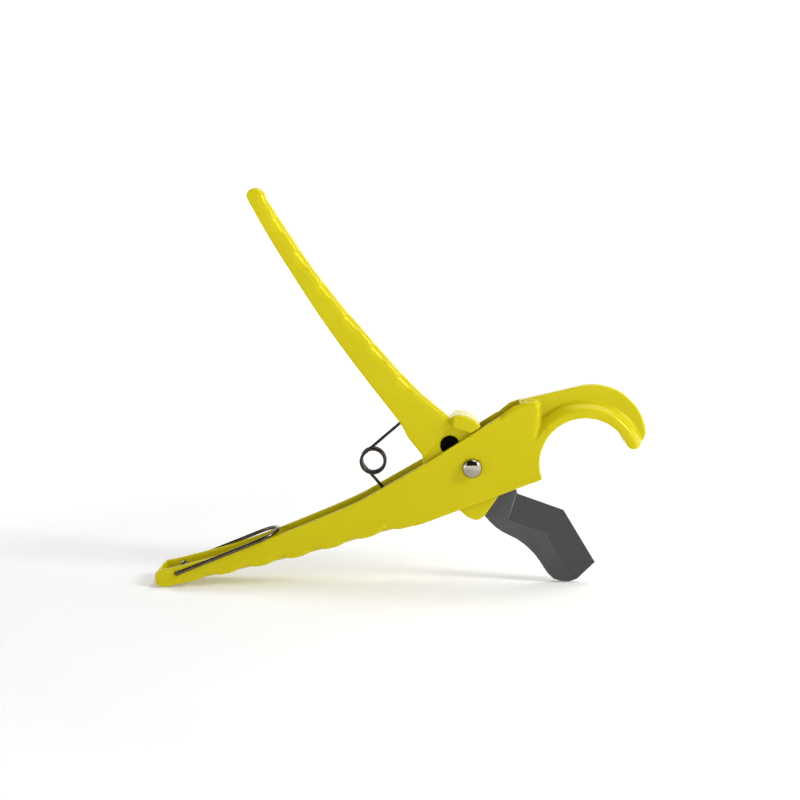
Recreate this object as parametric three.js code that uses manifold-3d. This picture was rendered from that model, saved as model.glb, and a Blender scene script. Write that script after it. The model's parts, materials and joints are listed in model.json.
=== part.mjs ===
// PVC pipe cutter: two die-cast handles, a swinging blade, a torsion spring and a wire bail.
// Millimetres, +Z up. Shapes are drawn in a side view with the pivot axis at (0, 0), x towards the jaw
// and z up. y is the thickness, and the domed head of the pivot bolt is on the -y side.
import * as THREE from 'three';
import { mergeVertices } from 'three/addons/utils/BufferGeometryUtils.js';
import Module from 'manifold-3d';

const wasm = await Module();
wasm.setup();

// ---------------------------------------------------------------- driving dimensions

const GAP = 0.3;                                    // between pieces that touch

const FRAME = { half: 10, plate: 2.3, floor: 2, holeRadius: 3.3 };
const CHANNEL_HALF = FRAME.half - FRAME.plate;      // inside of the lower handle's channel
const JAW = { x: 52.7, z: 2.1, radius: 21.1 };      // rest for a pipe of 42.2 mm outside diameter
const HOOK = { x: 56.8, z: 13, radius: 25.3, webHalf: 3.3 };
const RIB = { flat: 3.6, depth: 7.5 };              // saddle along the jaw, measured outwards from it
const STEP_X = 31.8;                                // where the full width ends and the thin web begins
const SLOT = { half: 1.9, reach: 77 };              // clearance for the blade inside the hook

const HANDLE = { half: 7.3, wall: 2.2, crown: 3 };
const HUB_HALF = 6.4;
const HUB_SLOT_HALF = 1.8;
const LUG_ROLL = 1;
const PLATE_ROLL = 2.5;                             // round the step, and on the tail's upright corners
const TAIL_X = -152;

// Finger scoops, taken out of the corners of a handle's back. first, pitch and length run along its edge.
// Each roll rounds the corners further than the last, over a length that is shorter by lip at both ends.
const SCOOP = { reach: 5.4, lip: 1.1 };
const LOWER_SCOOPS = { first: 16.6, pitch: 17.6, count: 6, length: 11.6, rolls: [1.6, 2.9, 4.2] };
const UPPER_SCOOPS = { first: 7.3, pitch: 18.6, count: 6, length: 11.2, rolls: [3.9, 4.9] };

const BLADE = { half: 1.5, edgeHalf: 0.2, bevel: 13.2 };
const PIVOT = { shank: 3, headRadius: 4.6, headHeight: 3.1, neckHalf: 3, endY: 16.6 };
const BUSH = { inner: 3.3, outer: 4, bore: 4.3 };
const SCREW = { x: -10.3, z: 10.4, head: 4.25, headHeight: 2.2, shank: 2, bore: 2.3 };
const SOCKET = { acrossFlats: 2.6, depth: 1.1 };
const BLADE_NUT = { acrossFlats: 7, height: 2.8 };
const PIVOT_NUT = { acrossFlats: 10, height: 3.6, collar: 1.2, collarRadius: 4.7, insertRadius: 3.9 };
const PIVOT_WASHER = { radius: 6, thickness: 1 };
const THRUST_WASHER_RADIUS = 7;

const WIRE = { spring: 0.75, bail: 0.88, sides: 8, springSteps: 56, bailSteps: 96 };
const COIL = { x: -46.8, z: 2.1, radius: 5.65, turns: 3, pitch: 2.1, splitAngle: 0.06 };
const SPRING_FOOT_LEG = 25;
const SPRING_HEAD_LEG = 30;
const LEG_ANGLE = THREE.MathUtils.degToRad(-49.6);  // direction of the lower leg, coil to foot
const BAIL_ANGLE = THREE.MathUtils.degToRad(21.9);
const BAIL = { x: -140.8, z: -50.5, reach: 51.6, inside: 6.6, bend: 1.6 };
const BAIL_HOLE = 1.3;
const QUARTER_ARC = 0.5523;                         // Bezier handle for a quarter circle of radius 1

// ---------------------------------------------------------------- materials

const paint = { color: 0xd8cc1c, roughness: 0.35, metalness: 0 };
const bladeCoat = { color: 0x45454a, roughness: 0.45, metalness: 0.6 };
const chrome = { color: 0xd8d8dc, roughness: 0.1, metalness: 1 };
const zinc = { color: 0xb5b4ae, roughness: 0.35, metalness: 1 };
const blackOxide = { color: 0x18181a, roughness: 0.5, metalness: 0.5 };
const springSteel = { color: 0x4b443e, roughness: 0.35, metalness: 1 };
const bronze = { color: 0xa9793a, roughness: 0.4, metalness: 1 };
const nylon = { color: 0x3564a8, roughness: 0.6, metalness: 0 };

// ---------------------------------------------------------------- solids

const point = (x, z) => new THREE.Vector2(x, z);
const outline = (pairs) => pairs.map(([x, z]) => point(x, z));

// A closed three.js geometry as a solid that can be cut and joined.
function solid(geometry) {
  const bare = geometry.clone();
  bare.deleteAttribute('normal');
  bare.deleteAttribute('uv');
  const merged = mergeVertices(bare, 1e-4);
  const vertProperties = new Float32Array(merged.attributes.position.array);
  const triVerts = new Uint32Array(merged.index.array);
  return new wasm.Manifold(new wasm.Mesh({ numProp: 3, vertProperties, triVerts }));
}

function geometryOf(manifold) {
  const { vertProperties, triVerts } = manifold.getMesh();
  const geometry = new THREE.BufferGeometry();
  geometry.setAttribute('position', new THREE.BufferAttribute(vertProperties, 3));
  geometry.setIndex(new THREE.BufferAttribute(triVerts, 1));
  geometry.computeVertexNormals();
  return geometry;
}

// A flat plate from a side-view outline, from y = low to y = high, its edges rounded by roll.
function slab(points, low, high, roll = 0) {
  const geometry = new THREE.ExtrudeGeometry(new THREE.Shape(points), {
    depth: high - low - 2 * roll,
    bevelEnabled: roll > 0,
    bevelThickness: roll,
    bevelSize: roll,
    bevelOffset: -roll,
    bevelSegments: 2 + Math.ceil(roll),
  });
  geometry.rotateX(Math.PI / 2);
  geometry.translate(0, high - roll, 0);
  return solid(geometry);
}

// A round bar along y, centred on (x, z).
function bar(x, z, radius, low, high, sides = 32) {
  const geometry = new THREE.CylinderGeometry(radius, radius, high - low, sides);
  geometry.translate(x, (low + high) / 2, z);
  return solid(geometry);
}

// A turned shape about an axis along y through (x, z). The [radius, y] pairs run anticlockwise.
function turned(pairs, x = 0, z = 0, sides = 36) {
  const closed = [...pairs, pairs[0]].map(([radius, y]) => point(radius, y));
  const geometry = new THREE.LatheGeometry(closed, sides);
  geometry.translate(x, 0, z);
  return solid(geometry);
}

const ring = (inner, outer, low, high, x = 0, z = 0) =>
  turned([[inner, low], [outer, low], [outer, high], [inner, high]], x, z);

const hexagonRadius = (acrossFlats) => acrossFlats / Math.sqrt(3);

const square = (half) => outline([[-half, -half], [half, -half], [half, half], [-half, half]]);

// Points on an arc about (x, z), from one angle to another in degrees.
function arc(x, z, radius, from, to, steps) {
  return Array.from({ length: steps + 1 }, (_, i) => {
    const angle = THREE.MathUtils.degToRad(from + (to - from) * i / steps);
    return point(x + radius * Math.cos(angle), z + radius * Math.sin(angle));
  });
}

const spline = (pairs) => new THREE.SplineCurve(outline(pairs));

// The point at a fraction of a curve's length, moved sideways to the left of its direction.
function beside(curve, fraction, offset) {
  const tangent = curve.getTangentAt(fraction);
  return curve.getPointAt(fraction).add(point(-tangent.y, tangent.x).multiplyScalar(offset));
}

function besideAll(curve, offset, steps) {
  return Array.from({ length: steps + 1 }, (_, i) => beside(curve, i / steps, offset));
}

// A broad strip on the inner side of a handle's edge, run on past both of its ends. Inside is 1 where the
// handle lies to the left of the edge's direction, and -1 where it lies to the right.
function strip(edge, inside) {
  const overrun = 15;
  const breadth = 30 * inside;
  const at = (end, along, offset) =>
    beside(edge, end, offset).addScaledVector(edge.getTangentAt(end), along);
  const loop = [at(0, -overrun, 0), ...edge.getSpacedPoints(20), at(1, overrun, 0),
    at(1, overrun, breadth), at(0, -overrun, breadth)];
  return inside > 0 ? loop : loop.reverse();
}

// What the finger scoops take away: ovals over the edge, down to a back with rounder and rounder corners.
function fingerScoops(edge, { first, pitch, count, length, rolls }, inside, half) {
  const total = edge.getLength();
  const oval = (i, shortened) => {
    const middle = (first + i * pitch + length / 2) / total;
    const { x, y } = edge.getPointAt(middle);
    const turn = edge.getTangentAt(middle).angle();
    const outside = new THREE.EllipseCurve(
      x, y, length / 2 - shortened, SCOOP.reach, 0, 2 * Math.PI, false, turn);
    return slab(outside.getPoints(24).slice(0, -1), -half - 1, half + 1);
  };
  return joined(rolls.map((roll, level) => {
    const ovals = Array.from({ length: count }, (_, i) => oval(i, level * SCOOP.lip));
    return joined(ovals).subtract(slab(strip(edge, inside), -half, half, roll));
  }));
}

const joined = (solids) => solids.reduce((sum, next) => sum.add(next));
const cut = (body, tools) => tools.reduce((rest, tool) => rest.subtract(tool), body);

// ---------------------------------------------------------------- lower handle and hook, one casting

const rim = spline([[-149.6, -49.2], [-144.3, -48.2], [-129, -44.3], [-115.1, -40.4], [-98.5, -34.6],
  [-78.2, -26.5], [-60, -18.8], [-51.4, -14.7]]);
const underside = spline([[-147.5, -57.6], [-112, -49.8], [-75, -40.8], [-46, -32.3], [-30, -28.3]]);

// The plates' front edge, above the jaw, and the first of their top edge.
const stepEdge = outline([[30.4, 15], [STEP_X, 22.5], [STEP_X, 29.4], [29.6, 31.4], [24.2, 30.9],
  [18.4, 28.9], [15.4, 26.5], [13, 24.4]]);

function sideOutline() {
  return [
    ...underside.getSpacedPoints(14),
    point(-23.7, -26.9),
    ...arc(JAW.x, JAW.z, JAW.radius, 201, 150, 8),
    ...stepEdge,
    point(-22.8, 1.7),
    ...rim.getSpacedPoints(20).reverse(),
    ...outline([[-151.2, -50.4], [TAIL_X, -52.5], [-151.6, -55], [-150.1, -56.9]]),
  ];
}

// The same outline grown away from the step and the tail, so that only those two get the large roll.
function rolledOutline() {
  return [
    ...outline([[TAIL_X, -80], [60, -80], [60, 15]]),
    ...stepEdge,
    ...outline([[0, 60], [TAIL_X, 60]]),
  ];
}

// The outline of everything round the jaw: hook, tip, and the wall behind the saddle.
function hookOutline() {
  return [
    point(22, -10),
    ...arc(JAW.x, JAW.z, JAW.radius, 201, 22, 34),
    ...outline([[73.6, 8.9], [75.6, 8.4], [77.7, 9], [79.6, 10.5], [81, 12.3]]),
    ...arc(HOOK.x, HOOK.z, HOOK.radius, 5, 101, 20),
    point(22, 30.9),
  ];
}

// The saddle: a ring about the jaw's axis whose back slopes down to the thin web.
function saddle() {
  const inner = JAW.radius;
  const outer = inner + RIB.depth;
  const half = FRAME.half;
  const side = [[inner, half - 0.6], [inner + 0.5, half], [inner + RIB.flat, half],
    [inner + 4.7, half - 0.7], [inner + 6.5, half - 3.2], [inner + 7.2, half - 5], [outer, HOOK.webHalf]];
  const mirrored = side.map(([radius, y]) => [radius, -y]).reverse();
  return turned([...side, ...mirrored].reverse(), JAW.x, JAW.z, 72);
}

// Room between the side plates: open along the top as far as the hook, and along the bottom from the
// end of the floor, where the blade comes out.
function channelOutline() {
  const behindSaddle = arc(JAW.x, JAW.z, JAW.radius + RIB.depth - 0.6, 203, 158, 6);
  return [
    ...outline([[-149.6, -30], [-149.6, -53.6]]),
    ...besideAll(underside, FRAME.floor, 12).slice(0, -1),
    ...outline([[-30, -25.4], [-24, -23.2], [-24, -40], [26, -40]]),
    ...behindSaddle,
    ...outline([[27.2, 20], [26, 27.5], [22.8, 27.5], [21.6, 45]]),
  ];
}

// A block across the channel that the spring's foot bears on, its back corner taken off for the leg.
const springSeatOutline = () => outline([[-36.9, -28.6], [-32.4, -27.6], [-32.8, -21.8], [-34.7, -21.8],
  [-36.9, -23.6]]);

function bladeSlotOutline() {
  return [
    ...outline([[18, -20], [60, -60], [100, -40]]),
    ...arc(0, 0, SLOT.reach, -8, 19.5, 8),
    ...outline([[41.2, 27.4], [24, 15.5], [18, 12]]),
  ];
}

function jawFrame() {
  const { half } = FRAME;
  const around = slab(hookOutline(), -half, half);
  const rolled = slab(rolledOutline(), -half, half, PLATE_ROLL);
  const plates = slab(sideOutline(), -half, half).intersect(rolled);
  const scoops = fingerScoops(underside, LOWER_SCOOPS, 1, half);
  const bodies = [
    plates.subtract(scoops),
    saddle().intersect(around),
    slab(hookOutline(), -HOOK.webHalf, HOOK.webHalf),
  ];
  const hollow = slab(channelOutline(), -CHANNEL_HALF, CHANNEL_HALF);
  const springSeat = slab(springSeatOutline(), -CHANNEL_HALF - 1, CHANNEL_HALF + 1);
  const squareHole = slab(square(PIVOT.neckHalf + GAP), -half - 1, 0);
  const shell = joined(bodies).subtract(hollow);
  return cut(shell.add(springSeat), [
    slab(bladeSlotOutline(), -SLOT.half, SLOT.half),
    bar(JAW.x, JAW.z, JAW.radius, -half - 1, half + 1, 72),
    bar(0, 0, FRAME.holeRadius, 0, half + 1),
    squareHole,
    bar(BAIL.x, BAIL.z, BAIL_HOLE, -half - 1, half + 1, 16),
  ]);
}

// ---------------------------------------------------------------- upper handle, one casting

const innerEdge = spline([[-103.2, 126], [-93.4, 108], [-80.8, 87.4], [-67.4, 66.6], [-52.3, 45.5],
  [-34, 21.6]]);
const outerEdge = spline([[-94.2, 125.2], [-83.8, 108.7], [-74.3, 94.4], [-62.2, 78.3], [-49.9, 63.8],
  [-37.4, 49.1], [-24.6, 35.5], [-13.4, 25.9]]);
const tipEnd = outline([[-95.2, 128.2], [-97.3, 130.4], [-100.1, 130.9], [-102.4, 129.4], [-103.5, 127.6]]);
const hubShoulder = outline([[-31.7, 17.5], [-30.1, 14.1], [-23.4, 5.7], [-23.2, 3.8], [-9.4, 19]]);

function handleOutline() {
  return [
    ...tipEnd,
    ...innerEdge.getSpacedPoints(12),
    ...hubShoulder,
    point(-7.5, 22),
    ...outerEdge.getSpacedPoints(20).reverse(),
  ];
}

// The same outline grown away from the outer edge, so that only the outer edge gets the large crown.
function crownedOutline() {
  return [
    ...tipEnd.slice(0, 3),
    ...outline([[-112, 136], [-125, 120], [-50, 10], [-10, -10], [-2, 16]]),
    ...outerEdge.getSpacedPoints(20).reverse(),
  ];
}

function handleHollowOutline() {
  const { wall } = HANDLE;
  const roof = besideAll(outerEdge, -wall, 16).slice(1, -2);
  return [
    ...roof.reverse(),
    ...outline([[-98.5, 124], [-120, 118], [-60, 22], [-38, 14], [-30.5, 19.5], [-19, 27]]),
  ];
}

const hubOutline = () => outline([[-23.2, 1.4], [-14, -10.4], [-5.6, -21.3], [-2.4, -24.2], [1, -25.8],
  [3.6, -25.6], [6.2, -23.6], [12.6, -14.3], [15, -7], [15.2, 0], [13.2, 7.2], [9, 12], [3, 16.2],
  [-6, 22], [-12, 24], [-20, 14]]);

const lugOutline = () => outline([[-9.3, 19.5], [-7.6, 18.4], [-0.6, 16.4], [4.3, 19.5], [1.9, 22.2],
  [-2, 24.4], [-5.8, 25.2], [-8.8, 24.8]]);

function upperHandle() {
  const { half, wall, crown } = HANDLE;
  const inside = half - wall;
  const beyond = half + 1;
  const crowned = slab(crownedOutline().reverse(), -half, half, crown);
  const grip = slab(handleOutline(), -beyond, beyond).intersect(crowned);
  const hollow = slab(handleHollowOutline(), -inside, inside);
  const scoops = fingerScoops(outerEdge, UPPER_SCOOPS, -1, half);
  const shell = cut(grip, [scoops, hollow]);
  const hub = slab(hubOutline(), -HUB_HALF, HUB_HALF);
  const lug = slab(lugOutline(), -FRAME.half, FRAME.half, LUG_ROLL);
  return cut(joined([shell, hub, lug]), [
    slab(bladeRoomOutline(), -HUB_SLOT_HALF, HUB_SLOT_HALF),
    bar(0, 0, BUSH.bore, -beyond, beyond),
    bar(SCREW.x, SCREW.z, SCREW.bore, -beyond, beyond, 24),
    bar(SCREW.x, SCREW.z, SCREW.head + GAP, -beyond, -HUB_HALF + SCREW.headHeight + GAP),
    bar(SCREW.x, SCREW.z, hexagonRadius(BLADE_NUT.acrossFlats) + GAP,
      HUB_HALF - BLADE_NUT.height - GAP, beyond, 6),
  ]);
}

// ---------------------------------------------------------------- blade

const BLADE_PEAK = point(43.8, -22.3);
const BLADE_HEEL = point(21.9, -14.3);
const BLADE_TOE = point(59, -47.9);
const bladeBack = spline([[46.5, -57.1], [42.7, -56.9], [37.6, -54.5], [31.5, -45.5], [27.2, -40.6],
  [21.6, -36.2], [12.7, -31.4], [6.3, -25]]);
const tang = outline([[-2, -14.5], [-9.5, -5], [-16.4, 6], [-16.6, 12], [-13, 16], [-7.5, 16.6], [2, 10.5],
  [10, 5.5], [17.2, -3], [21.4, -12.7]]);

const bladeOutline = () => [
  ...tang, BLADE_HEEL, BLADE_PEAK, BLADE_TOE, point(54.2, -52.3), point(50.4, -55.9),
  ...bladeBack.getSpacedPoints(14),
].reverse();

// Space for the blade between the hub's cheeks, open towards the jaw.
const bladeRoomOutline = () => outline([[-2, -14.5 - GAP], [-9.9, -5.2], [-16.8, 6], [-17, 12.2],
  [-13.1, 16.4], [-7.4, 17], [2, 11], [30, 9], [30, -40], [4, -40]]);

// Wedges that take both sides of the blade down towards a cutting edge that runs from a to b.
// They run past the edge's ends by before and after.
function bevelTool(a, b, before, after) {
  const { half, edgeHalf, bevel } = BLADE;
  const clear = 0.5;
  const wedge = (side) => new THREE.Shape(outline([[clear, side * edgeHalf], [-bevel, side * half],
    [-bevel, side * (half + 2)], [clear, side * (half + 2)]]));
  const depth = a.distanceTo(b) + before + after;
  const geometry = new THREE.ExtrudeGeometry([wedge(1), wedge(-1)], { depth, bevelEnabled: false });
  const along = b.clone().sub(a).normalize();
  const start = a.clone().addScaledVector(along, -before);
  const outward = new THREE.Vector3(-along.y, 0, along.x);
  const placed = new THREE.Matrix4().makeBasis(
    outward, new THREE.Vector3(0, -1, 0), new THREE.Vector3(along.x, 0, along.y));
  placed.setPosition(start.x, 0, start.y);
  geometry.applyMatrix4(placed);
  return solid(geometry);
}

// The two pairs of bevels meet in a mitre below the peak. The heel pair stops at the plunge line.
const heelZone = outline([[43.8, -22.3], [60, 4], [10, 4], [21.5, -13.4], [17.4, -27.4], [36.3, -35.3]]);

function blade() {
  const { half } = BLADE;
  const beyond = half + 3;
  const heelSide = slab(heelZone, -beyond, beyond);
  return cut(slab(bladeOutline(), -half, half), [
    bevelTool(BLADE_HEEL, BLADE_PEAK, 6, 6).intersect(heelSide),
    bevelTool(BLADE_PEAK, BLADE_TOE, 12, 12).subtract(heelSide),
    bar(0, 0, BUSH.bore, -beyond, beyond),
    bar(SCREW.x, SCREW.z, SCREW.bore, -beyond, beyond, 24),
  ]);
}

// ---------------------------------------------------------------- pivot

function pivotBolt() {
  const { shank, headRadius, headHeight, neckHalf, endY } = PIVOT;
  const seat = -FRAME.half - GAP;
  const rimHeight = 0.4;
  const domeHeight = headHeight - rimHeight;
  const dome = arc(0, 0, 1, 90, 0, 7)
    .map(({ x, y }) => [headRadius * x, seat - rimHeight - domeHeight * y]);
  const head = turned([...dome, [headRadius, seat], [0, seat]]);
  const inHead = seat - 0.2;
  const neck = slab(square(neckHalf), inHead, -CHANNEL_HALF);
  return joined([head, neck, bar(0, 0, shank, inHead, endY)]);
}

function nut(acrossFlats, bore, low, high, x = 0, z = 0) {
  const hexagon = bar(x, z, hexagonRadius(acrossFlats), low, high, 6);
  return hexagon.subtract(bar(x, z, bore, low - 1, high + 1, 24));
}

const BOLT_CLEARANCE = PIVOT.shank + GAP;
const WASHER_LOW = FRAME.half + GAP;
const WASHER_HIGH = WASHER_LOW + PIVOT_WASHER.thickness;
const NUT_LOW = WASHER_HIGH + GAP;
const NUT_HIGH = NUT_LOW + PIVOT_NUT.height;

// Self-locking nut: its round collar holds a nylon ring.
function pivotNut() {
  const { acrossFlats, collar, collarRadius, insertRadius } = PIVOT_NUT;
  const hexagon = nut(acrossFlats, BOLT_CLEARANCE, NUT_LOW, NUT_HIGH);
  return hexagon.add(ring(insertRadius + GAP, collarRadius, NUT_HIGH - 0.2, NUT_HIGH + collar));
}

const nutInsert = () =>
  ring(BOLT_CLEARANCE, PIVOT_NUT.insertRadius, NUT_HIGH + GAP, NUT_HIGH + PIVOT_NUT.collar - 0.2);

const pivotWasher = () => ring(BOLT_CLEARANCE, PIVOT_WASHER.radius, WASHER_LOW, WASHER_HIGH);

// Between a cheek of the hub and a side plate.
function thrustWasher(side) {
  const faces = [side * (HUB_HALF + GAP), side * (CHANNEL_HALF - GAP)];
  return ring(BOLT_CLEARANCE, THRUST_WASHER_RADIUS, Math.min(...faces), Math.max(...faces));
}

const pivotBush = () => ring(BUSH.inner, BUSH.outer, -HUB_HALF + 0.2, HUB_HALF - 0.2);

// ---------------------------------------------------------------- blade screw

const FASTENER_FACE = HUB_HALF - 0.1;               // its ends sit just inside the cheeks' faces

function bladeScrew() {
  const { x, z, head, headHeight, shank } = SCREW;
  const top = -FASTENER_FACE;
  const socket = bar(x, z, hexagonRadius(SOCKET.acrossFlats), top - 1, top + SOCKET.depth, 6);
  return bar(x, z, head, top, top + headHeight)
    .add(bar(x, z, shank, top + headHeight / 2, FASTENER_FACE, 24))
    .subtract(socket);
}

const bladeNut = () => nut(BLADE_NUT.acrossFlats, SCREW.shank + GAP, HUB_HALF - BLADE_NUT.height,
  FASTENER_FACE, SCREW.x, SCREW.z);

// ---------------------------------------------------------------- wire pieces

function wire(path, radius, steps) {
  const section = new THREE.Shape(arc(0, 0, radius, 0, 360, WIRE.sides).slice(0, -1));
  return solid(new THREE.ExtrudeGeometry(section, { steps, bevelEnabled: false, extrudePath: path }));
}

const COIL_START = LEG_ANGLE - Math.PI / 2;         // the lower leg leaves the coil here
const COIL_WOUND = 2 * Math.PI * COIL.turns + Math.PI / 2;

// A point on the coil, wound clockwise by an angle from where the lower leg meets it.
function coilPoint(wound, target = new THREE.Vector3()) {
  const angle = COIL_START - wound;
  const y = COIL.pitch * (COIL_WOUND / 2 - wound) / (2 * Math.PI);
  return target.set(COIL.x + COIL.radius * Math.cos(angle), y, COIL.z + COIL.radius * Math.sin(angle));
}

class CoilCurve extends THREE.Curve {
  constructor(from, to) {
    super();
    this.from = from;
    this.to = to;
  }

  getPoint(t, target = new THREE.Vector3()) {
    return coilPoint(THREE.MathUtils.lerp(this.from, this.to, t), target);
  }
}

const legEnd = (start, angle, length) =>
  start.clone().add(new THREE.Vector3(Math.cos(angle), 0, Math.sin(angle)).multiplyScalar(length));

// The spring is one wire, parted at the middle of its coil so that each leg can turn with the handles.
function springLower() {
  const path = new THREE.CurvePath();
  const start = coilPoint(0);
  const foot = legEnd(start, LEG_ANGLE, SPRING_FOOT_LEG);
  path.add(new THREE.LineCurve3(foot, start));
  path.add(new CoilCurve(0, (COIL_WOUND - COIL.splitAngle) / 2));
  return wire(path, WIRE.spring, WIRE.springSteps);
}

function springUpper() {
  const path = new THREE.CurvePath();
  const end = coilPoint(COIL_WOUND);
  path.add(new CoilCurve((COIL_WOUND + COIL.splitAngle) / 2, COIL_WOUND));
  path.add(new THREE.LineCurve3(end, legEnd(end, LEG_ANGLE + Math.PI / 2, SPRING_HEAD_LEG)));
  return wire(path, WIRE.spring, WIRE.springSteps);
}

// Hairpin: two legs outside the side plates, a round end between them, and ends bent in through the holes.
function bail() {
  const { bend, inside } = BAIL;
  const legY = FRAME.half + GAP + WIRE.bail;
  const straight = BAIL.reach - legY;
  const quarter = legY * QUARTER_ARC;
  const at = (along, y) => new THREE.Vector3(
    BAIL.x + along * Math.cos(BAIL_ANGLE), y, BAIL.z + along * Math.sin(BAIL_ANGLE));
  const path = new THREE.CurvePath();
  path.add(new THREE.LineCurve3(at(0, -inside), at(0, bend - legY)));
  path.add(new THREE.QuadraticBezierCurve3(at(0, bend - legY), at(0, -legY), at(bend, -legY)));
  path.add(new THREE.LineCurve3(at(bend, -legY), at(straight, -legY)));
  path.add(new THREE.CubicBezierCurve3(at(straight, -legY), at(straight + quarter, -legY),
    at(BAIL.reach, -quarter), at(BAIL.reach, 0)));
  path.add(new THREE.CubicBezierCurve3(at(BAIL.reach, 0), at(BAIL.reach, quarter),
    at(straight + quarter, legY), at(straight, legY)));
  path.add(new THREE.LineCurve3(at(straight, legY), at(bend, legY)));
  path.add(new THREE.QuadraticBezierCurve3(at(bend, legY), at(0, legY), at(0, legY - bend)));
  path.add(new THREE.LineCurve3(at(0, legY - bend), at(0, inside)));
  return wire(path, WIRE.bail, WIRE.bailSteps);
}

// ---------------------------------------------------------------- assembly

function piece(name, manifold, look) {
  const mesh = new THREE.Mesh(geometryOf(manifold), new THREE.MeshStandardMaterial(look));
  mesh.name = name;
  return mesh;
}

const cutter = new THREE.Group();
cutter.add(
  piece('jaw_frame', jawFrame(), paint),
  piece('upper_handle', upperHandle(), paint),
  piece('blade', blade(), bladeCoat),
  piece('pivot_bolt', pivotBolt(), chrome),
  piece('pivot_bush', pivotBush(), bronze),
  piece('thrust_washer_near', thrustWasher(-1), zinc),
  piece('thrust_washer_far', thrustWasher(1), zinc),
  piece('pivot_washer', pivotWasher(), zinc),
  piece('pivot_nut', pivotNut(), zinc),
  piece('pivot_nut_insert', nutInsert(), nylon),
  piece('blade_screw', bladeScrew(), blackOxide),
  piece('blade_nut', bladeNut(), blackOxide),
  piece('spring_lower', springLower(), springSteel),
  piece('spring_upper', springUpper(), springSteel),
  piece('bail', bail(), springSteel),
);

// The tool stands on its tail and the tip of its blade. The origin is on the ground, midway along and across.
const bounds = new THREE.Box3().setFromObject(cutter);
const middle = bounds.getCenter(new THREE.Vector3());
cutter.position.set(-middle.x, -middle.y, -bounds.min.z);

export default cutter;
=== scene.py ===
"""PVC pipe cutter: finished pieces, materials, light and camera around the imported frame. Metres, +Z up."""

import json
import math

import bmesh
import bpy
from mathutils import Matrix, Vector


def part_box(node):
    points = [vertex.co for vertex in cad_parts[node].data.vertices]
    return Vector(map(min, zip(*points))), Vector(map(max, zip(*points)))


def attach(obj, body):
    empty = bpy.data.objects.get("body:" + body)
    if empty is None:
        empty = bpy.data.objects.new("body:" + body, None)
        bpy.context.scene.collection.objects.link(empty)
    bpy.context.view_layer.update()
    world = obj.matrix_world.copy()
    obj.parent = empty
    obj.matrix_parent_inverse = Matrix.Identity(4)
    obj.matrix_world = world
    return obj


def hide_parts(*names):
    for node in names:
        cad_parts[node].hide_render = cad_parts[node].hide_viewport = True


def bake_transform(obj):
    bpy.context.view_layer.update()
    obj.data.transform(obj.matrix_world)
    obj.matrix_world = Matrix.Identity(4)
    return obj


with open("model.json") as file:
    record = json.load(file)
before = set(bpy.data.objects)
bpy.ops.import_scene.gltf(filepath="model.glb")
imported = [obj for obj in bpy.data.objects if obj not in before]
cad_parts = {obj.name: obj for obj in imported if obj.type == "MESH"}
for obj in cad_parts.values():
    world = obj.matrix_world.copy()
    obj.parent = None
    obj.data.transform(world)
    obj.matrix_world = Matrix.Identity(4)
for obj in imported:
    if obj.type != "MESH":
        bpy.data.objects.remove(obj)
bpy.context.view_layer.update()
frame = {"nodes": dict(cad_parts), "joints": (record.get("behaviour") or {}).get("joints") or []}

MM = 0.001
# Points closer than this are one point.
WELD = 0.001 * MM
JOINTS = {joint["name"]: Vector(joint["pos_m"]) for joint in frame["joints"]}

# ---------------------------------------------------------------- driving values

CAST_VOXEL = 0.5 * MM
CAST_SMOOTHING = {"factor": 0.5, "rounds": 8}
BROKEN_EDGE = 0.15 * MM
BLADE_EDGE = 0.12 * MM
BLADE_ANGLES = {"one_plane": 1, "smooth": 4, "corner": 40}
# The share of its normal along Y that makes a face of the blade a bevel: it leans by about 4 to 8 degrees.
BEVEL_LEAN = {"steepest": 0.99, "flattest": 0.998}
# Where the flat of the blade drops into the heel's bevel: a line down from top, measured from the pivot. A
# painted highlight runs along it.
PLUNGE = {"top": Vector((21.5, 0, -13.4)) * MM, "down": Vector((-0.281, 0, -0.96)), "length": 14 * MM,
          "painted_highlight": 0.35 * MM}
TURN_SEGMENTS = 96
WIRE_SIDES = 20

THREAD = {"pitch": 1.0 * MM, "depth": 0.35 * MM, "rings_per_turn": 8}
BOLT = {"shank": 3.0 * MM, "head": 3.1 * MM, "rim": 0.4 * MM, "end_chamfer": 0.5 * MM}
NUT = {"bore": 3.3 * MM, "flats": 10.0 * MM}
COLLAR = {"height": 1.2 * MM, "outer": 4.7 * MM, "inner": 4.2 * MM, "roll": 0.35 * MM}
NUT_LEAD = 0.35 * MM
NUT_CHAMFER = {"from": 0.96, "angle": 30}
BLADE_NUT = {"bore": 2.3 * MM, "flats": 7.0 * MM}
SCREW = {"shank": 2.0 * MM, "head": 2.2 * MM, "head_round": 0.35 * MM, "threaded": 2.6 * MM}
SOCKET = {"flats": 2.6 * MM, "depth": 1.1 * MM, "drill": 0.9 * MM, "drill_tip": 0.4 * MM}

SPRING_WIRE = 0.75 * MM
COIL = {"radius": 5.65 * MM, "turns": 3.25, "pitch": 2.1 * MM}
SPRING_HEAD_LEG = 30 * MM
BAIL = {"wire": 0.88 * MM, "bend": 1.6 * MM, "inside": 6.6 * MM}

STUDIO = {"flat_rings": (0, 0.5, 1.5), "radius": 5.0, "bend": 1.2, "wall": 1.7,
          "segments": 96, "bend_steps": 12}
FLOOR_GLOW = {"near": 0.16, "far": 0.97, "from": 0.2, "to": 0.9}
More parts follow.
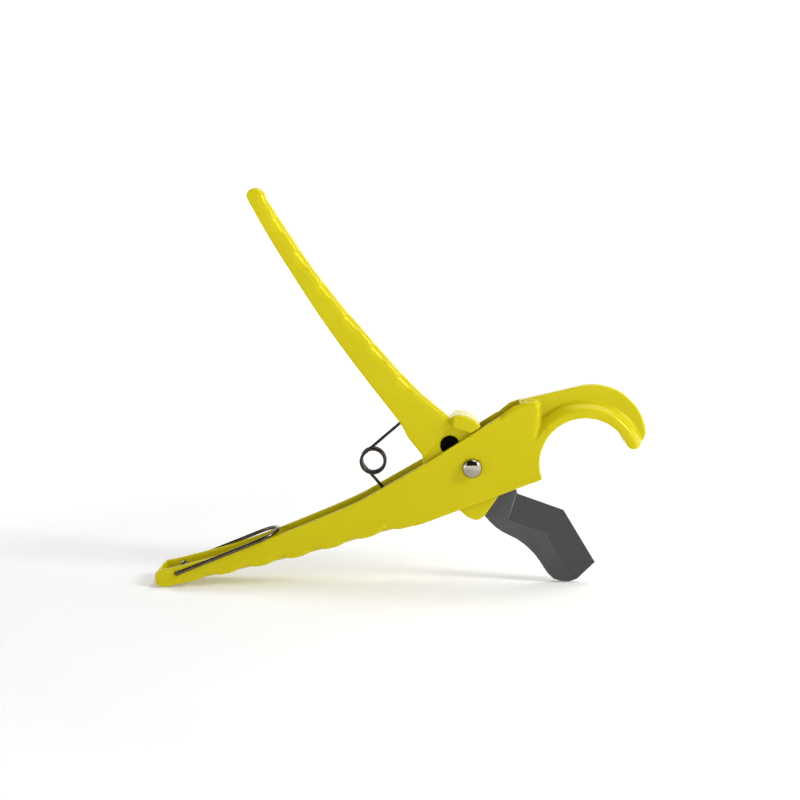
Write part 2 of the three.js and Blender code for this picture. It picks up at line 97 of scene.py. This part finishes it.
# Name, place, width and height, and watts.
SOFTBOXES = [
    ("top_softbox", (0.40, 0.30, 1.25), (1.3, 1.0), 12),
    ("left_softbox", (-1.20, -0.45, 0.55), (0.5, 0.9), 2),
    ("right_softbox", (1.10, -0.40, 0.75), (0.3, 0.4), 11),
]
ROOM = {"colour": (0.95, 0.97, 1.0, 1), "strength": 0.03}
CAMERA_PLACE = Vector((0.0191, -0.5916, 0.1751))
CAMERA_TURN = {"yaw": 1.735, "pitch": 81.67, "roll": -0.53}
CAMERA_LENS = {"length": 56.75, "sensor": 36}

# ---------------------------------------------------------------- meshes


def new_piece(name, mesh, body, slot, *nodes):
    """A finished piece that rides on a body and stands for CAD nodes. The slot is not used."""
    piece = bpy.data.objects.new(name, mesh)
    bpy.context.scene.collection.objects.link(piece)
    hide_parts(*nodes)
    if body:
        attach(piece, body)
    return piece


def mesh_from(name, bm, sharp_angle=None):
    """A mesh from bmesh geometry, smooth apart from edges over the angle."""
    bmesh.ops.recalc_face_normals(bm, faces=bm.faces)
    mesh = bpy.data.meshes.new(name)
    bm.to_mesh(mesh)
    bm.free()
    mesh.shade_smooth()
    if sharp_angle:
        mesh.set_sharp_from_angle(angle=math.radians(sharp_angle))
    return mesh


def evaluated(name, mesh, *modifiers):
    """The mesh after modifiers, each given as (type, settings)."""
    helper = bpy.data.objects.new(name, mesh)
    bpy.context.scene.collection.objects.link(helper)
    for kind, settings in modifiers:
        modifier = helper.modifiers.new(kind, kind)
        for key, value in settings.items():
            setattr(modifier, key, value)
    depsgraph = bpy.context.evaluated_depsgraph_get()
    result = bpy.data.meshes.new_from_object(helper.evaluated_get(depsgraph))
    bpy.data.objects.remove(helper)
    result.name = name
    return result


def axis_of(node):
    """The centre of a node's box: for a turned piece, a point on its axis."""
    low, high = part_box(node)
    return (low + high) / 2


def round_shape(radius, angle):
    """A circle of the profile's own radius."""
    return radius


def hexagon_shape(across_flats):
    """A hexagon of that width, cut off by a circle of the profile's own radius."""
    def shape(radius, angle):
        side = math.pi / 3
        folded = (angle % side) - side / 2
        return min(radius, across_flats / 2 / math.cos(folded))
    return shape


def turned(name, centre, profile, closed, sharp_angle=40):
    """A surface turned about an axis along Y. The profile's points are (radius, y, shape)."""
    bm = bmesh.new()
    rings = []
    for radius, y, shape in profile:
        ring = []
        for i in range(TURN_SEGMENTS):
            angle = 2 * math.pi * i / TURN_SEGMENTS
            reach = shape(radius, angle)
            ring.append(bm.verts.new((centre.x + reach * math.cos(angle), y,
                                      centre.z + reach * math.sin(angle))))
        rings.append(ring)
    pairs = list(zip(rings, rings[1:]))
    if closed:
        pairs.append((rings[-1], rings[0]))
    for inner, outer in pairs:
        for i in range(TURN_SEGMENTS):
            after = (i + 1) % TURN_SEGMENTS
            bm.faces.new((inner[i], inner[after], outer[after], outer[i]))
    bmesh.ops.remove_doubles(bm, verts=bm.verts, dist=WELD)
    bmesh.ops.dissolve_degenerate(bm, edges=bm.edges, dist=WELD)
    return mesh_from(name, bm, sharp_angle)


def rounded(radius, y, toward_axis, along, size=BROKEN_EDGE):
    """Points that round a profile's outer corner. The signs say which way the two sides leave it."""
    steps = 4
    points = []
    for i in range(steps + 1):
        turn = math.pi / 2 * i / steps
        points.append((radius + toward_axis * size * (1 - math.sin(turn)),
                       y + along * size * (1 - math.cos(turn)), round_shape))
    return points


def washer_profile(inner, outer, low, high):
    """A flat ring with broken edges."""
    return [
        *rounded(outer, low, -1, 1),
        *reversed(rounded(outer, high, -1, -1)),
        *rounded(inner, high, 1, -1),
        *reversed(rounded(inner, low, 1, 1)),
    ]


def nut_profile(across_flats, bore, low, high, chamfers):
    """A hexagon nut. Each of its faces is cut back to a cone at the corners if it is chamfered."""
    corner = across_flats / math.sqrt(3)
    start = NUT_CHAMFER["from"] * across_flats / 2
    cut = corner - start
    rise = cut * math.tan(math.radians(NUT_CHAMFER["angle"]))
    steps = 7
    shape = hexagon_shape(across_flats)

    def face(y, inward):
        return [(start + cut * i / steps, y + inward * rise * i / steps, shape)
                for i in range(steps + 1)]

    low_face = face(low, 1) if chamfers[0] else [(corner, low, shape)]
    high_face = face(high, -1) if chamfers[1] else [(corner, high, shape)]
    return [
        (bore, low + NUT_LEAD, round_shape),
        (bore + NUT_LEAD, low, round_shape),
        *low_face,
        *reversed(high_face),
        (bore + NUT_LEAD, high, round_shape),
        (bore, high - NUT_LEAD, round_shape),
    ]


def swept(name, points, radius):
    """A round wire along points, with rounded ends."""
    bm = bmesh.new()
    tangents = [(after - before).normalized() for before, after in
                zip([points[0], *points], [*points[1:], points[-1]])]
    side = tangents[0].orthogonal().normalized()
    rings = []
    # Places on a round end, along the wire and out from its middle, as shares of its radius.
    cap = [(-0.98, 0.2), (-0.8, 0.6), (-0.45, 0.893)]
    stations = [(0, along, share) for along, share in cap]
    stations += [(i, 0, 1) for i in range(len(points))]
    stations += [(len(points) - 1, -along, share) for along, share in reversed(cap)]
    for index, along, share in stations:
        tangent = tangents[index]
        side = (side - side.dot(tangent) * tangent).normalized()
        other = tangent.cross(side)
        centre = points[index] + tangent * along * radius
        rings.append([
            bm.verts.new(centre + radius * share * (side * math.cos(turn) + other * math.sin(turn)))
            for turn in (2 * math.pi * i / WIRE_SIDES for i in range(WIRE_SIDES))
        ])
    for first, second in zip(rings, rings[1:]):
        for i in range(WIRE_SIDES):
            after = (i + 1) % WIRE_SIDES
            bm.faces.new((first[i], first[after], second[after], second[i]))
    bm.faces.new(rings[0])
    bm.faces.new(rings[-1])
    return mesh_from(name, bm)


# ---------------------------------------------------------------- pieces


def casting(name, node, body):
    """A die casting: the CAD solid with every edge and inside corner rounded."""
    voxels = ("REMESH", {"mode": "VOXEL", "voxel_size": CAST_VOXEL})
    smoothing = ("SMOOTH", {"factor": CAST_SMOOTHING["factor"], "iterations": CAST_SMOOTHING["rounds"]})
    mesh = evaluated(name, frame["nodes"][node].data.copy(), voxels, smoothing)
    mesh.materials.clear()
    mesh.shade_smooth()
    return new_piece(name, mesh, body, "yellow_paint", node)


def blade_piece():
    """The blade with its edges just broken. Its bevels take its second material."""
    bm = bmesh.new()
    bm.from_mesh(frame["nodes"]["blade"].data)
    bmesh.ops.remove_doubles(bm, verts=bm.verts, dist=WELD)
    one_plane = math.radians(BLADE_ANGLES["one_plane"])
    bmesh.ops.dissolve_limit(bm, angle_limit=one_plane, verts=bm.verts, edges=bm.edges)
    corner = math.radians(BLADE_ANGLES["corner"])
    corners = [edge for edge in bm.edges if edge.calc_face_angle(0) > corner]
    bmesh.ops.bevel(bm, geom=corners, offset=BLADE_EDGE, segments=2, affect="EDGES",
                    clamp_overlap=True, material=-1)
    mesh = mesh_from("cutting_blade", bm, sharp_angle=BLADE_ANGLES["smooth"])
    for polygon in mesh.polygons:
        if BEVEL_LEAN["steepest"] < abs(polygon.normal.y) < BEVEL_LEAN["flattest"]:
            polygon.material_index = 1
    return new_piece("cutting_blade", mesh, "handle", "blade_coating", "blade")


def thread_shape(y):
    """The outline of a screw thread across its axis, at a place along it."""
    def shape(radius, angle):
        phase = (y / THREAD["pitch"] - angle / (2 * math.pi)) % 1
        return radius - THREAD["depth"] * abs(2 * phase - 1)
    return shape


def pivot_bolt_piece():
    """Domed head outside the near plate, and a threaded end that comes through the nut."""
    centre = axis_of("pivot_bolt")
    low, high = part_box("pivot_bolt")
    shank = BOLT["shank"]
    head_radius = (high.x - low.x) / 2
    seat = low.y + BOLT["head"]
    dome_foot = seat - BOLT["rim"]
    dome = []
    dome_steps = 20
    for i in range(dome_steps + 1):
        turn = math.pi / 2 * i / dome_steps
        dome.append((head_radius * math.sin(turn), dome_foot - (dome_foot - low.y) * math.cos(turn),
                     round_shape))
    thread_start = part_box("pivot_washer")[0].y
    run_out = 0.3 * MM
    lead = 0.4 * MM
    thread_steps = int((high.y - thread_start) / THREAD["pitch"] * THREAD["rings_per_turn"])
    thread = [thread_start + (high.y - thread_start - lead) * i / thread_steps
              for i in range(thread_steps + 1)]
    profile = [
        *dome,
        (head_radius, seat, round_shape),
        (shank, seat, round_shape),
        (shank, thread_start - run_out, round_shape),
        *[(shank, y, thread_shape(y)) for y in thread],
        (shank - BOLT["end_chamfer"], high.y, round_shape),
        (0, high.y, round_shape),
    ]
    mesh = turned("domed_pivot_bolt", centre, profile, closed=False, sharp_angle=50)
    return new_piece("domed_pivot_bolt", mesh, "frame", "bright_plating", "pivot_bolt")


def washer_piece(name, node, body, slot):
    """A flat ring or a bush round the bolt, with the nut's own bore."""
    low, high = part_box(node)
    profile = washer_profile(NUT["bore"], (high.x - low.x) / 2, low.y, high.y)
    mesh = turned(name, axis_of(node), profile, closed=True)
    return new_piece(name, mesh, body, slot, node)


def lock_nut_piece():
    """Self-locking nut: a chamfered hexagon under a round collar that is rolled over its ring."""
    low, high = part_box("pivot_nut")
    step = high.y - COLLAR["height"]
    outer = COLLAR["outer"]
    inner = COLLAR["inner"]
    hexagon = nut_profile(NUT["flats"], NUT["bore"], low.y, step, chamfers=(True, True))
    without_upper_bore = hexagon[:-2]
    profile = without_upper_bore + [
        # The collar stands on the hexagon, curls in over the ring and comes down to it inside.
        (outer + 0.05 * MM, step, round_shape),
        (outer, step + 0.15 * MM, round_shape),
        (outer, high.y - COLLAR["roll"], round_shape),
        (outer - 0.15 * MM, high.y - 0.08 * MM, round_shape),
        (outer - COLLAR["roll"], high.y, round_shape),
        (inner, high.y - 0.1 * MM, round_shape),
        (inner, step + 0.2 * MM, round_shape),
        (NUT["bore"], step, round_shape),
    ]
    mesh = turned("self_locking_nut", axis_of("pivot_nut"), profile, closed=True)
    return new_piece("self_locking_nut", mesh, "frame", "zinc_plating", "pivot_nut")


def blade_nut_piece():
    """Plain hexagon nut, chamfered on its outer face."""
    low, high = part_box("blade_nut")
    profile = nut_profile(BLADE_NUT["flats"], BLADE_NUT["bore"], low.y, high.y, chamfers=(False, True))
    mesh = turned("blade_clamp_nut", axis_of("blade_nut"), profile, closed=True)
    return new_piece("blade_clamp_nut", mesh, "handle", "black_oxide", "blade_nut")


def blade_screw_piece():
    """Cylinder-head screw with a hexagon socket and a threaded end."""
    low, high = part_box("blade_screw")
    head = (high.x - low.x) / 2
    shank = SCREW["shank"]
    under_head = low.y + SCREW["head"]
    lead = 0.3 * MM
    steps = 16
    thread = [high.y - lead - SCREW["threaded"] * i / steps for i in range(steps, -1, -1)]
    floor = low.y + SOCKET["depth"]
    corner = SOCKET["flats"] / math.sqrt(3)
    socket = hexagon_shape(SOCKET["flats"])
    profile = [
        (0, floor + SOCKET["drill_tip"], round_shape),
        (SOCKET["drill"], floor, round_shape),
        (corner, floor, socket),
        (corner, low.y + BROKEN_EDGE, socket),
        (corner + BROKEN_EDGE, low.y, round_shape),
        *rounded(head, low.y, -1, 1, size=SCREW["head_round"]),
        (head, under_head, round_shape),
        (shank, under_head, round_shape),
        *[(shank, y, thread_shape(y)) for y in thread],
        (shank - lead, high.y, round_shape),
        (0, high.y, round_shape),
    ]
    mesh = turned("blade_clamp_screw", axis_of("blade_screw"), profile, closed=False)
    return new_piece("blade_clamp_screw", mesh, "handle", "black_oxide", "blade_screw")


def torsion_spring_piece():
    """One wire: lower leg, coil, upper leg."""
    coil = JOINTS["spring_wind"]
    foot = JOINTS["spring_foot_turn"]
    radius = COIL["radius"]
    to_foot = Vector((foot.x - coil.x, foot.z - coil.z))
    # The lower leg is a tangent to the coil that ends at the foot.
    leg_angle = math.atan2(to_foot.y, to_foot.x) + math.asin(radius / to_foot.length)
    start = leg_angle - math.pi / 2
    wound = 2 * math.pi * COIL["turns"]
    half_width = COIL["pitch"] * COIL["turns"] / 2
    steps_per_turn = 48
    steps = int(steps_per_turn * COIL["turns"])
    turns = []
    for i in range(steps + 1):
        angle = start - wound * i / steps
        y = coil.y + half_width * (1 - 2 * i / steps)
        turns.append(Vector((coil.x + radius * math.cos(angle), y, coil.z + radius * math.sin(angle))))
    foot_end = Vector((foot.x, turns[0].y, foot.z))
    head_angle = leg_angle + math.pi / 2
    head_way = Vector((math.cos(head_angle), 0, math.sin(head_angle)))
    lower_steps = 12
    upper_steps = 14
    lower_leg = [foot_end.lerp(turns[0], i / lower_steps) for i in range(lower_steps)]
    upper_leg = [turns[-1] + head_way * SPRING_HEAD_LEG * i / upper_steps
                 for i in range(1, upper_steps + 1)]
    mesh = swept("torsion_spring", [*lower_leg, *turns, *upper_leg], SPRING_WIRE)
    piece = new_piece("torsion_spring", mesh, None, "spring_wire", "spring_lower", "spring_upper")
    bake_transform(piece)
    return piece


def bail_piece():
    """Hairpin of wire: a round end between two legs, whose own ends turn in through the plates."""
    low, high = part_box("bail")
    hinge = JOINTS["bail_swing"]
    wire = BAIL["wire"]
    bend = BAIL["bend"]
    inside = BAIL["inside"]
    leg = (high.y - low.y) / 2 - wire
    rise = high.z - wire - hinge.z
    run = high.x - wire - hinge.x
    reach = math.hypot(rise, run)
    slope = math.atan2(rise, run)
    way = Vector((math.cos(slope), 0, math.sin(slope)))
    across = Vector((0, 1, 0))

    def at(along, y):
        return hinge + way * along + across * y

    bend_steps = 8
    leg_steps = 16
    loop_steps = 24
    straight = reach - leg
    half = [at(0, inside), at(0, (inside + leg - bend) / 2)]
    for i in range(bend_steps + 1):
        turn = math.pi / 2 * i / bend_steps
        half.append(at(bend * (1 - math.cos(turn)), leg - bend * (1 - math.sin(turn))))
    half += [at(bend + (straight - bend) * i / leg_steps, leg) for i in range(1, leg_steps + 1)]
    for i in range(1, loop_steps + 1):
        turn = math.pi / 2 * i / loop_steps
        half.append(at(straight + leg * math.sin(turn), leg * math.cos(turn)))
    mirrored = [Vector((p.x, 2 * hinge.y - p.y, p.z)) for p in reversed(half[:-1])]
    mesh = swept("wire_bail", [*half, *mirrored], wire)
    return new_piece("wire_bail", mesh, "latch", "bail_wire", "bail")


# ---------------------------------------------------------------- materials


class Look:
    """A node material, with short calls for the nodes that the looks below share."""

    def __init__(self, name):
        self.material = bpy.data.materials.new(name)
        self.material.use_nodes = True
        self.nodes = self.material.node_tree.nodes
        self.links = self.material.node_tree.links
        self.shader = self.nodes["Principled BSDF"]
        self.place = self.add("ShaderNodeTexCoord").outputs["Object"]

    def add(self, kind, **settings):
        """A new node with those settings."""
        node = self.nodes.new(kind)
        for key, value in settings.items():
            setattr(node, key, value)
        return node

    def set(self, **values):
        """Fixed values, straight on the shader's own sockets."""
        for key, value in values.items():
            self.shader.inputs[key.replace("_", " ")].default_value = value

    def noise(self, scale, detail=3, stretch=(1, 1, 1), turn=0):
        """Noise with that many features to a metre, stretched and turned about Y if asked."""
        mapping = self.add("ShaderNodeMapping")
        mapping.inputs["Scale"].default_value = stretch
        mapping.inputs["Rotation"].default_value = (0, turn, 0)
        self.links.new(self.place, mapping.inputs["Vector"])
        texture = self.add("ShaderNodeTexNoise")
        texture.inputs["Scale"].default_value = scale
        texture.inputs["Detail"].default_value = detail
        self.links.new(mapping.outputs["Vector"], texture.inputs["Vector"])
        return texture.outputs["Fac"]

    def ranged(self, value, low, high, bottom=0.3, top=0.7):
        """A value between bottom and top, spread from low to high."""
        node = self.add("ShaderNodeMapRange")
        node.inputs["From Min"].default_value = bottom
        node.inputs["From Max"].default_value = top
        node.inputs["To Min"].default_value = low
        node.inputs["To Max"].default_value = high
        self.links.new(value, node.inputs["Value"])
        return node.outputs["Result"]

    def distance(self, start, way):
        """How far a place is from a start, measured along a way."""
        offset = self.add("ShaderNodeVectorMath", operation="SUBTRACT")
        self.links.new(self.place, offset.inputs[0])
        offset.inputs[1].default_value = start
        product = self.add("ShaderNodeVectorMath", operation="DOT_PRODUCT")
        self.links.new(offset.outputs["Vector"], product.inputs[0])
        product.inputs[1].default_value = way
        return product.outputs["Value"]

    def mixed(self, share, first, second):
        """A colour between two, each given as RGB or as another node's output."""
        node = self.add("ShaderNodeMix", data_type="RGBA")
        self.links.new(share, node.inputs[0])
        for socket, colour in ((node.inputs[6], first), (node.inputs[7], second)):
            if isinstance(colour, tuple):
                socket.default_value = (*colour, 1)
            else:
                self.links.new(colour, socket)
        return node.outputs[2]

    def edges(self):
        """How far a place is on an outside edge, from 0 to 1."""
        pointiness = self.add("ShaderNodeNewGeometry").outputs["Pointiness"]
        return self.ranged(pointiness, 0, 1, bottom=0.52, top=0.6)

    def colour(self, output):
        self.links.new(output, self.shader.inputs["Base Color"])

    def roughness(self, output):
        self.links.new(output, self.shader.inputs["Roughness"])

    def bumps(self, *layers):
        """Bump layers, each given as (height, strength, distance)."""
        normal = None
        for height, strength, distance in layers:
            bump = self.add("ShaderNodeBump")
            bump.inputs["Strength"].default_value = strength
            bump.inputs["Distance"].default_value = distance
            self.links.new(height, bump.inputs["Height"])
            if normal:
                self.links.new(normal, bump.inputs["Normal"])
            normal = bump.outputs["Normal"]
        self.links.new(normal, self.shader.inputs["Normal"])


def yellow_enamel():
    """Lemon-yellow enamel over a die casting: slow waves, fine orange peel, and a painted highlight of paler
    yellow on the outside edges.
    """
    look = Look("yellow_enamel")
    body = look.mixed(look.ranged(look.noise(24), 0, 1), (0.54, 0.465, 0.004), (0.57, 0.49, 0.006))
    # Painted highlight: the outside edges turn a paler, brighter yellow.
    look.colour(look.mixed(look.edges(), body, (0.76, 0.69, 0.02)))
    look.roughness(look.ranged(look.noise(260, 4), 0.20, 0.28))
    look.bumps((look.noise(90, 2), 0.05, 0.25 * MM), (look.noise(1500, 2), 0.08, 0.04 * MM))
    look.set(IOR=1.42, Specular_Tint=(1.0, 0.93, 0.25, 1))
    return look.material


def coated_steel():
    """The blade's dark coating: satin and slightly mottled, with a painted highlight: paler along the plunge
    line and on the narrow edges past it."""
    look = Look("coated_steel")
    body = look.mixed(look.ranged(look.noise(60, 5), 0, 1), (0.050, 0.050, 0.051), (0.078, 0.078, 0.078))
    # Painted highlight: faces past the plunge line turn paler, fading out further down the line.
    top = JOINTS["handle_close"] + PLUNGE["top"]
    down = PLUNGE["down"]
    across = Vector((-down.z, 0, down.x))
    past_line = look.ranged(look.distance(top, across), 0, 1, -PLUNGE["painted_highlight"], -0.6 * PLUNGE["painted_highlight"])
    fading = look.ranged(look.distance(top, down), 1, 0, 0.4 * PLUNGE["length"], PLUNGE["length"])
    painted_highlight = look.mixed(fading, body, (0.26, 0.27, 0.26))
    look.colour(look.mixed(past_line, body, painted_highlight))
    look.roughness(look.ranged(look.noise(420, 5), 0.40, 0.56))
    look.bumps((look.noise(2400, 3), 0.16, 0.04 * MM))
    look.set(Metallic=0.35)
    return look.material


def ground_steel():
    """The blade's bevels: the same coating over fine grinding lines that run across the edge."""
    look = Look("ground_steel")
    lines = look.noise(900, 4, stretch=(0.08, 1, 1.5), turn=math.radians(58))
    look.colour(look.mixed(look.ranged(lines, 0, 1), (0.038, 0.039, 0.042), (0.047, 0.048, 0.051)))
    look.roughness(look.ranged(lines, 0.38, 0.46))
    look.bumps((lines, 0.07, 0.02 * MM))
    look.set(Metallic=0.4)
    return look.material


def metal(name, dark, light, roughness, grain=900, bump=0.05):
    """Bare or plated metal: a tone that drifts between two, fine grain and uneven gloss."""
    look = Look(name)
    look.colour(look.mixed(look.ranged(look.noise(260, 4), 0, 1), dark, light))
    look.roughness(look.ranged(look.noise(520, 4), *roughness))
    look.bumps((look.noise(grain, 3), bump, 0.03 * MM))
    look.set(Metallic=1)
    return look.material


def nylon():
    """The blue ring that locks the nut."""
    look = Look("blue_nylon")
    look.colour(look.mixed(look.ranged(look.noise(300), 0, 1), (0.03, 0.10, 0.30), (0.05, 0.14, 0.38)))
    look.roughness(look.ranged(look.noise(800), 0.45, 0.6))
    look.bumps((look.noise(1800), 0.1, 0.03 * MM))
    look.set(Subsurface_Weight=0.1, Subsurface_Scale=0.001)
    return look.material


# ---------------------------------------------------------------- stage, light and camera


def studio_floor():
    """A white round floor that curves up into a low wall. It glows more further out, where less light
    falls."""
    reach = STUDIO["radius"]
    bend = STUDIO["bend"]
    segments = STUDIO["segments"]
    profile = [(radius, 0) for radius in (*STUDIO["flat_rings"], reach - bend)]
    for i in range(1, STUDIO["bend_steps"] + 1):
        turn = math.pi / 2 * i / STUDIO["bend_steps"]
        profile.append((reach - bend * (1 - math.sin(turn)), bend * (1 - math.cos(turn))))
    profile.append((reach, STUDIO["wall"]))
    bm = bmesh.new()
    rings = []
    for radius, height in profile:
        turns = (2 * math.pi * i / segments for i in range(segments))
        rings.append([bm.verts.new((radius * math.cos(turn), radius * math.sin(turn), height))
                      for turn in turns])
    for inner, outer in zip(rings, rings[1:]):
        for i in range(segments):
            after = (i + 1) % segments
            bm.faces.new((inner[i], inner[after], outer[after], outer[i]))
    bmesh.ops.remove_doubles(bm, verts=bm.verts, dist=WELD)
    floor = bpy.data.objects.new("studio_floor", mesh_from("studio_floor", bm))
    bpy.context.scene.collection.objects.link(floor)
    look = Look("studio_white")
    look.colour(look.mixed(look.noise(3), (0.86, 0.86, 0.86), (0.88, 0.88, 0.88)))
    distance = look.add("ShaderNodeVectorMath", operation="LENGTH")
    look.links.new(look.place, distance.inputs[0])
    glow = look.ranged(distance.outputs["Value"], FLOOR_GLOW["near"], FLOOR_GLOW["far"],
                       FLOOR_GLOW["from"], FLOOR_GLOW["to"])
    look.links.new(glow, look.shader.inputs["Emission Strength"])
    look.set(Roughness=0.9, Emission_Color=(1, 1, 1, 1))
    floor.data.materials.append(look.material)


def softbox(name, place, target, size, power):
    """A rectangular light that faces a target."""
    light = bpy.data.lights.new(name, "AREA")
    light.shape = "RECTANGLE"
    light.size, light.size_y = size
    light.energy = power
    lamp = bpy.data.objects.new(name, light)
    lamp.location = place
    lamp.rotation_euler = (Vector(target) - Vector(place)).to_track_quat("-Z", "Y").to_euler()
    bpy.context.scene.collection.objects.link(lamp)


def studio_light():
    """Mostly from above and the right, in a dim room."""
    centre = axis_of("upper_handle")
    for name, place, size, power in SOFTBOXES:
        softbox(name, place, centre, size, power)
    world = bpy.data.worlds.new("studio")
    world.use_nodes = True
    background = world.node_tree.nodes["Background"]
    background.inputs["Color"].default_value = ROOM["colour"]
    background.inputs["Strength"].default_value = ROOM["strength"]
    bpy.context.scene.world = world


def photograph_camera():
    """The photograph's viewpoint."""
    data = bpy.data.cameras.new("camera")
    data.lens = CAMERA_LENS["length"]
    data.sensor_width = CAMERA_LENS["sensor"]
    camera = bpy.data.objects.new("camera", data)
    yaw = Matrix.Rotation(math.radians(CAMERA_TURN["yaw"]), 4, "Z")
    pitch = Matrix.Rotation(math.radians(CAMERA_TURN["pitch"]), 4, "X")
    roll = Matrix.Rotation(math.radians(CAMERA_TURN["roll"]), 4, "Z")
    camera.matrix_world = Matrix.Translation(CAMERA_PLACE) @ yaw @ pitch @ roll
    bpy.context.scene.collection.objects.link(camera)
    bpy.context.scene.camera = camera


# ---------------------------------------------------------------- assembly


def dress(piece, *materials):
    """Gives a piece its materials, in the order of its faces' material numbers."""
    for material in materials:
        piece.data.materials.append(material)


photograph_camera()
studio_light()
studio_floor()
bpy.context.scene.view_settings.view_transform = "Standard"

enamel = yellow_enamel()
dress(casting("hook_casting", "jaw_frame", "frame"), enamel)
dress(casting("grip_casting", "upper_handle", "handle"), enamel)
dress(blade_piece(), coated_steel(), ground_steel())
dress(pivot_bolt_piece(),
      metal("bright_plate", (0.33, 0.30, 0.25), (0.40, 0.36, 0.30), (0.05, 0.11), grain=500, bump=0.02))

zinc = metal("zinc_plate", (0.50, 0.50, 0.47), (0.66, 0.66, 0.65), (0.24, 0.38))
dress(lock_nut_piece(), zinc)
for name, node in (("nut_washer", "pivot_washer"), ("near_thrust_washer", "thrust_washer_near"),
                   ("far_thrust_washer", "thrust_washer_far")):
    dress(washer_piece(name, node, "frame", "zinc_plating"), zinc)
dress(washer_piece("locking_ring", "pivot_nut_insert", "frame", "nylon"), nylon())
dress(washer_piece("bronze_bush", "pivot_bush", "handle", "bronze"),
      metal("sintered_bronze", (0.36, 0.21, 0.08), (0.50, 0.31, 0.13), (0.34, 0.5), grain=1400, bump=0.3))

black = metal("black_oxide_steel", (0.002, 0.002, 0.002), (0.005, 0.005, 0.005), (0.4, 0.55))
dress(blade_screw_piece(), black)
dress(blade_nut_piece(), black)
dress(torsion_spring_piece(),
      metal("spring_steel", (0.030, 0.024, 0.020), (0.065, 0.053, 0.043), (0.18, 0.30)))
dress(bail_piece(), metal("plated_wire", (0.08, 0.060, 0.042), (0.15, 0.122, 0.092), (0.12, 0.22)))
